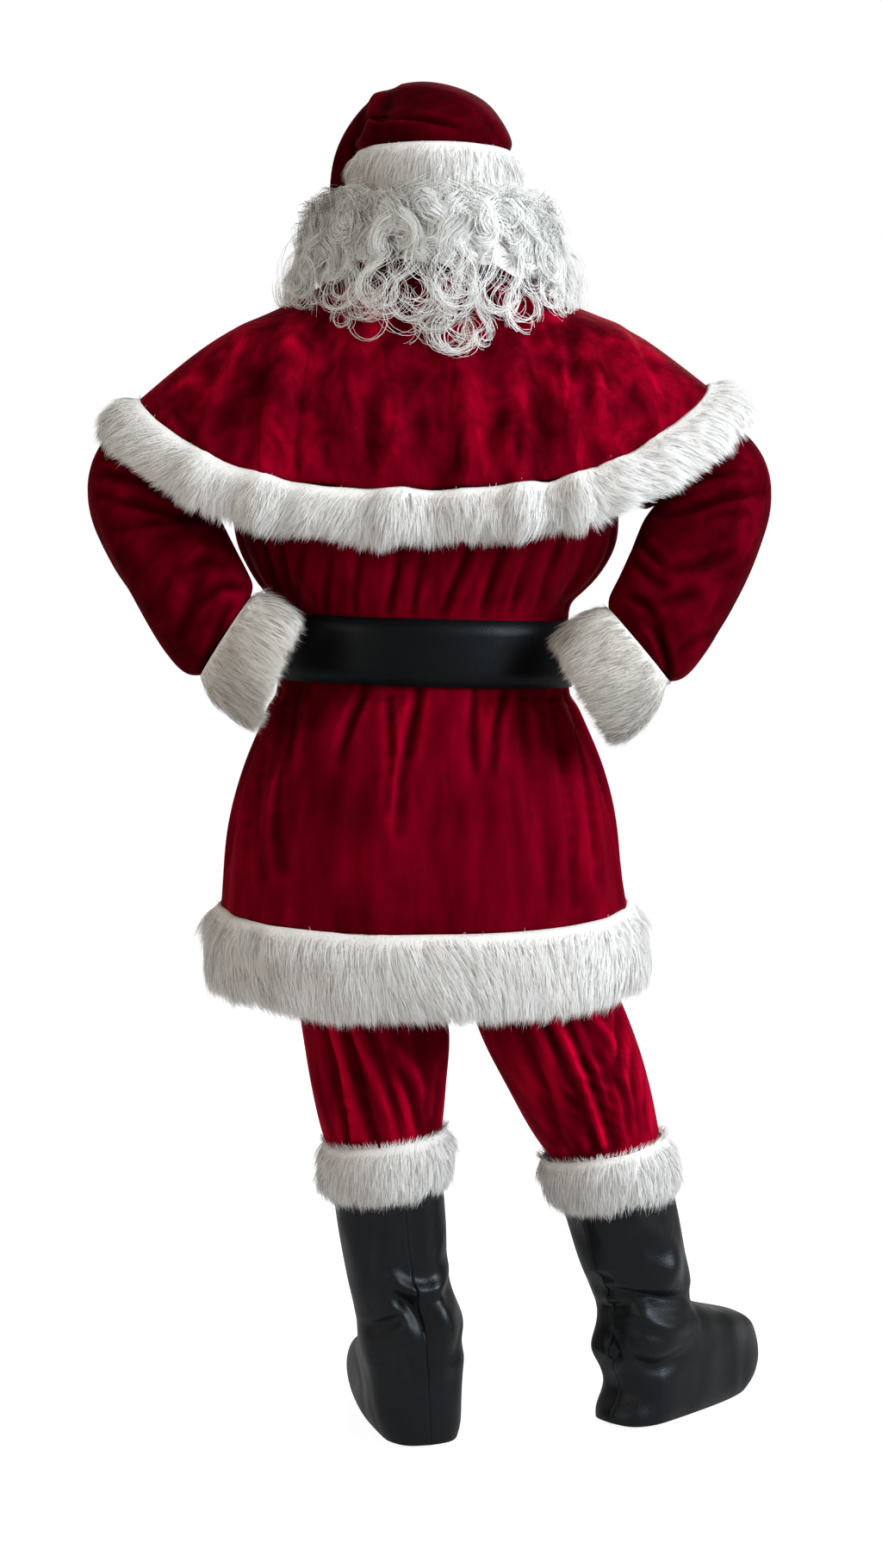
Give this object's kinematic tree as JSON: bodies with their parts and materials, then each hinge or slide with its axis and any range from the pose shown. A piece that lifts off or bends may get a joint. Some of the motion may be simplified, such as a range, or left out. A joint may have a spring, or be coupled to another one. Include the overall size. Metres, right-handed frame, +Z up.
{
  "type": "santa suit",
  "caption": "Worn santa suit: crushed velvet coat, shoulder cape, trousers and folded hat with long fur bands, white curled wig, wide black belt and slouched black boot covers.",
  "frame": {"origin": "middle of the neck opening, where the suit hangs from the shoulders", "axes": "+X is the wearer's right, +Y the wearer's front, +Z up"},
  "size_m": [0.9093, 0.4762, 1.8035],
  "materials": {
    "red_velvet": "crushed velvet, deep crimson, blotched nap",
    "white_fur": "long-pile off-white faux fur",
    "wig_net": "matt net",
    "white_hair": "silver-white curled synthetic hair",
    "black_leather": "fine-grained faux leather, low sheen",
    "buckle_metal": "satin gold-coloured metal",
    "black_leatherette": "smooth coated cloth, soft shine"
  },
  "bodies": {
    "root": {"hat_cone": "red_velvet", "cape": "red_velvet", "coat_back": "red_velvet", "coat_back_skirt": "red_velvet", "coat_front_left": "red_velvet", "coat_front_right": "red_velvet", "sleeve_left": "red_velvet", "sleeve_right": "red_velvet", "trousers_left": "red_velvet", "trousers_right": "red_velvet", "trousers_waistband": "red_velvet", "hat_brim": "white_fur", "hat_pompom": "white_fur", "cape_trim": "white_fur", "cuff_left": "white_fur", "cuff_right": "white_fur", "coat_hem_trim": "white_fur", "boot_fur_left": "white_fur", "boot_fur_right": "white_fur", "wig_cap": "wig_net", "wig_weft_crown": "white_hair", "wig_weft_middle": "white_hair", "wig_weft_nape": "white_hair", "belt_strap": "black_leather", "belt_buckle": "buckle_metal", "belt_prong": "buckle_metal", "boot_left_outer": "black_leatherette", "boot_left_inner": "black_leatherette", "boot_right_outer": "black_leatherette", "boot_right_inner": "black_leatherette"}
  },
  "joints": []
}
